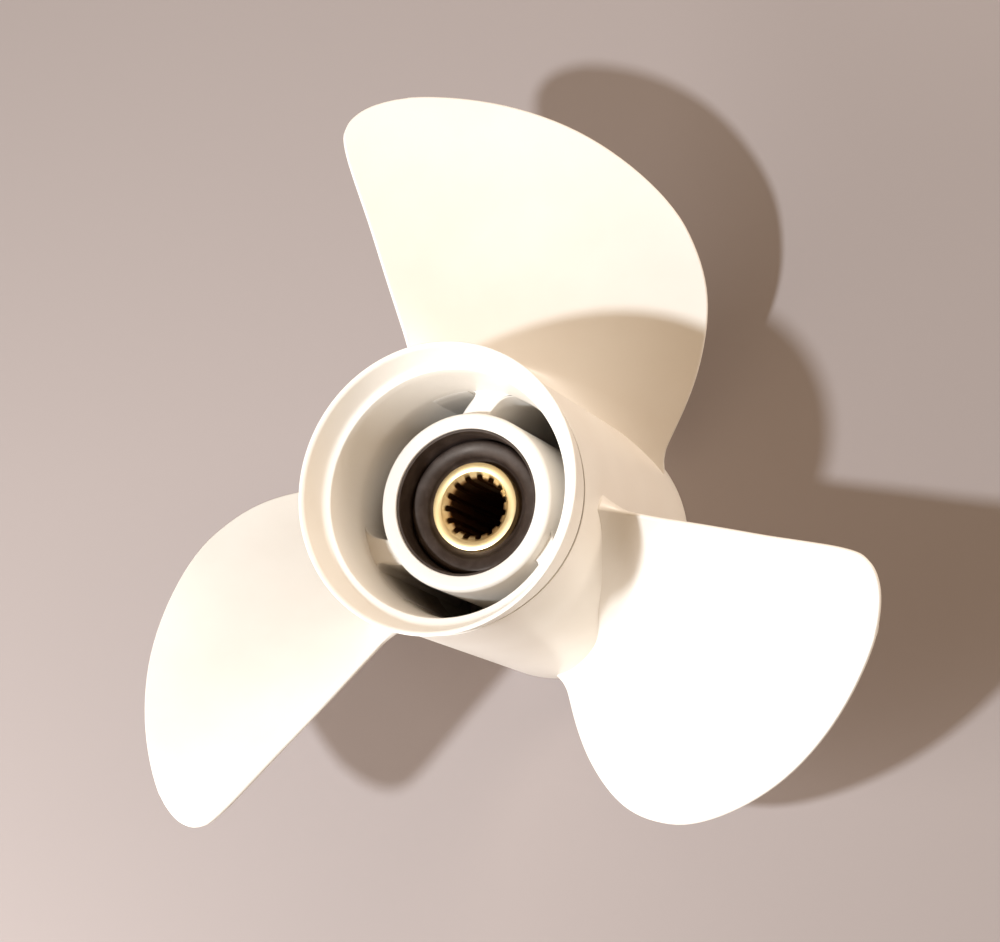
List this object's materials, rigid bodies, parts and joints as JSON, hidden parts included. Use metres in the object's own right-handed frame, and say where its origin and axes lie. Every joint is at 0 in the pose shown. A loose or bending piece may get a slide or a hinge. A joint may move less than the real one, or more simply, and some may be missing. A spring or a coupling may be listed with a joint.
{
  "type": "outboard motor propeller with exhaust through the hub",
  "caption": "Right-hand boat propeller with swept blades on an open exhaust hub, and a splined brass sleeve in a rubber bush.",
  "frame": {"origin": "on the shaft axis, in the plane of the hub's forward face, on which the part stands", "axes": "+Z along the shaft towards the aft end of the hub; blade_1 points along +Y"},
  "size_m": [0.3049, 0.2839, 0.138],
  "materials": {
    "cream_paint": "satin cream paint over an aluminium casting",
    "black_rubber": "moulded, dull, a soft sheen on the rounded shoulder",
    "sleeve_brass": "machined, clean"
  },
  "bodies": {
    "root": {"hub_barrel": "cream_paint", "aft_ring": "cream_paint", "inner_hub": "cream_paint", "rib_1": "cream_paint", "rib_2": "cream_paint", "rib_3": "cream_paint", "blade_1": "cream_paint", "blade_2": "cream_paint", "blade_3": "cream_paint", "rubber_bush": "black_rubber", "spline_sleeve": "sleeve_brass"}
  },
  "joints": []
}
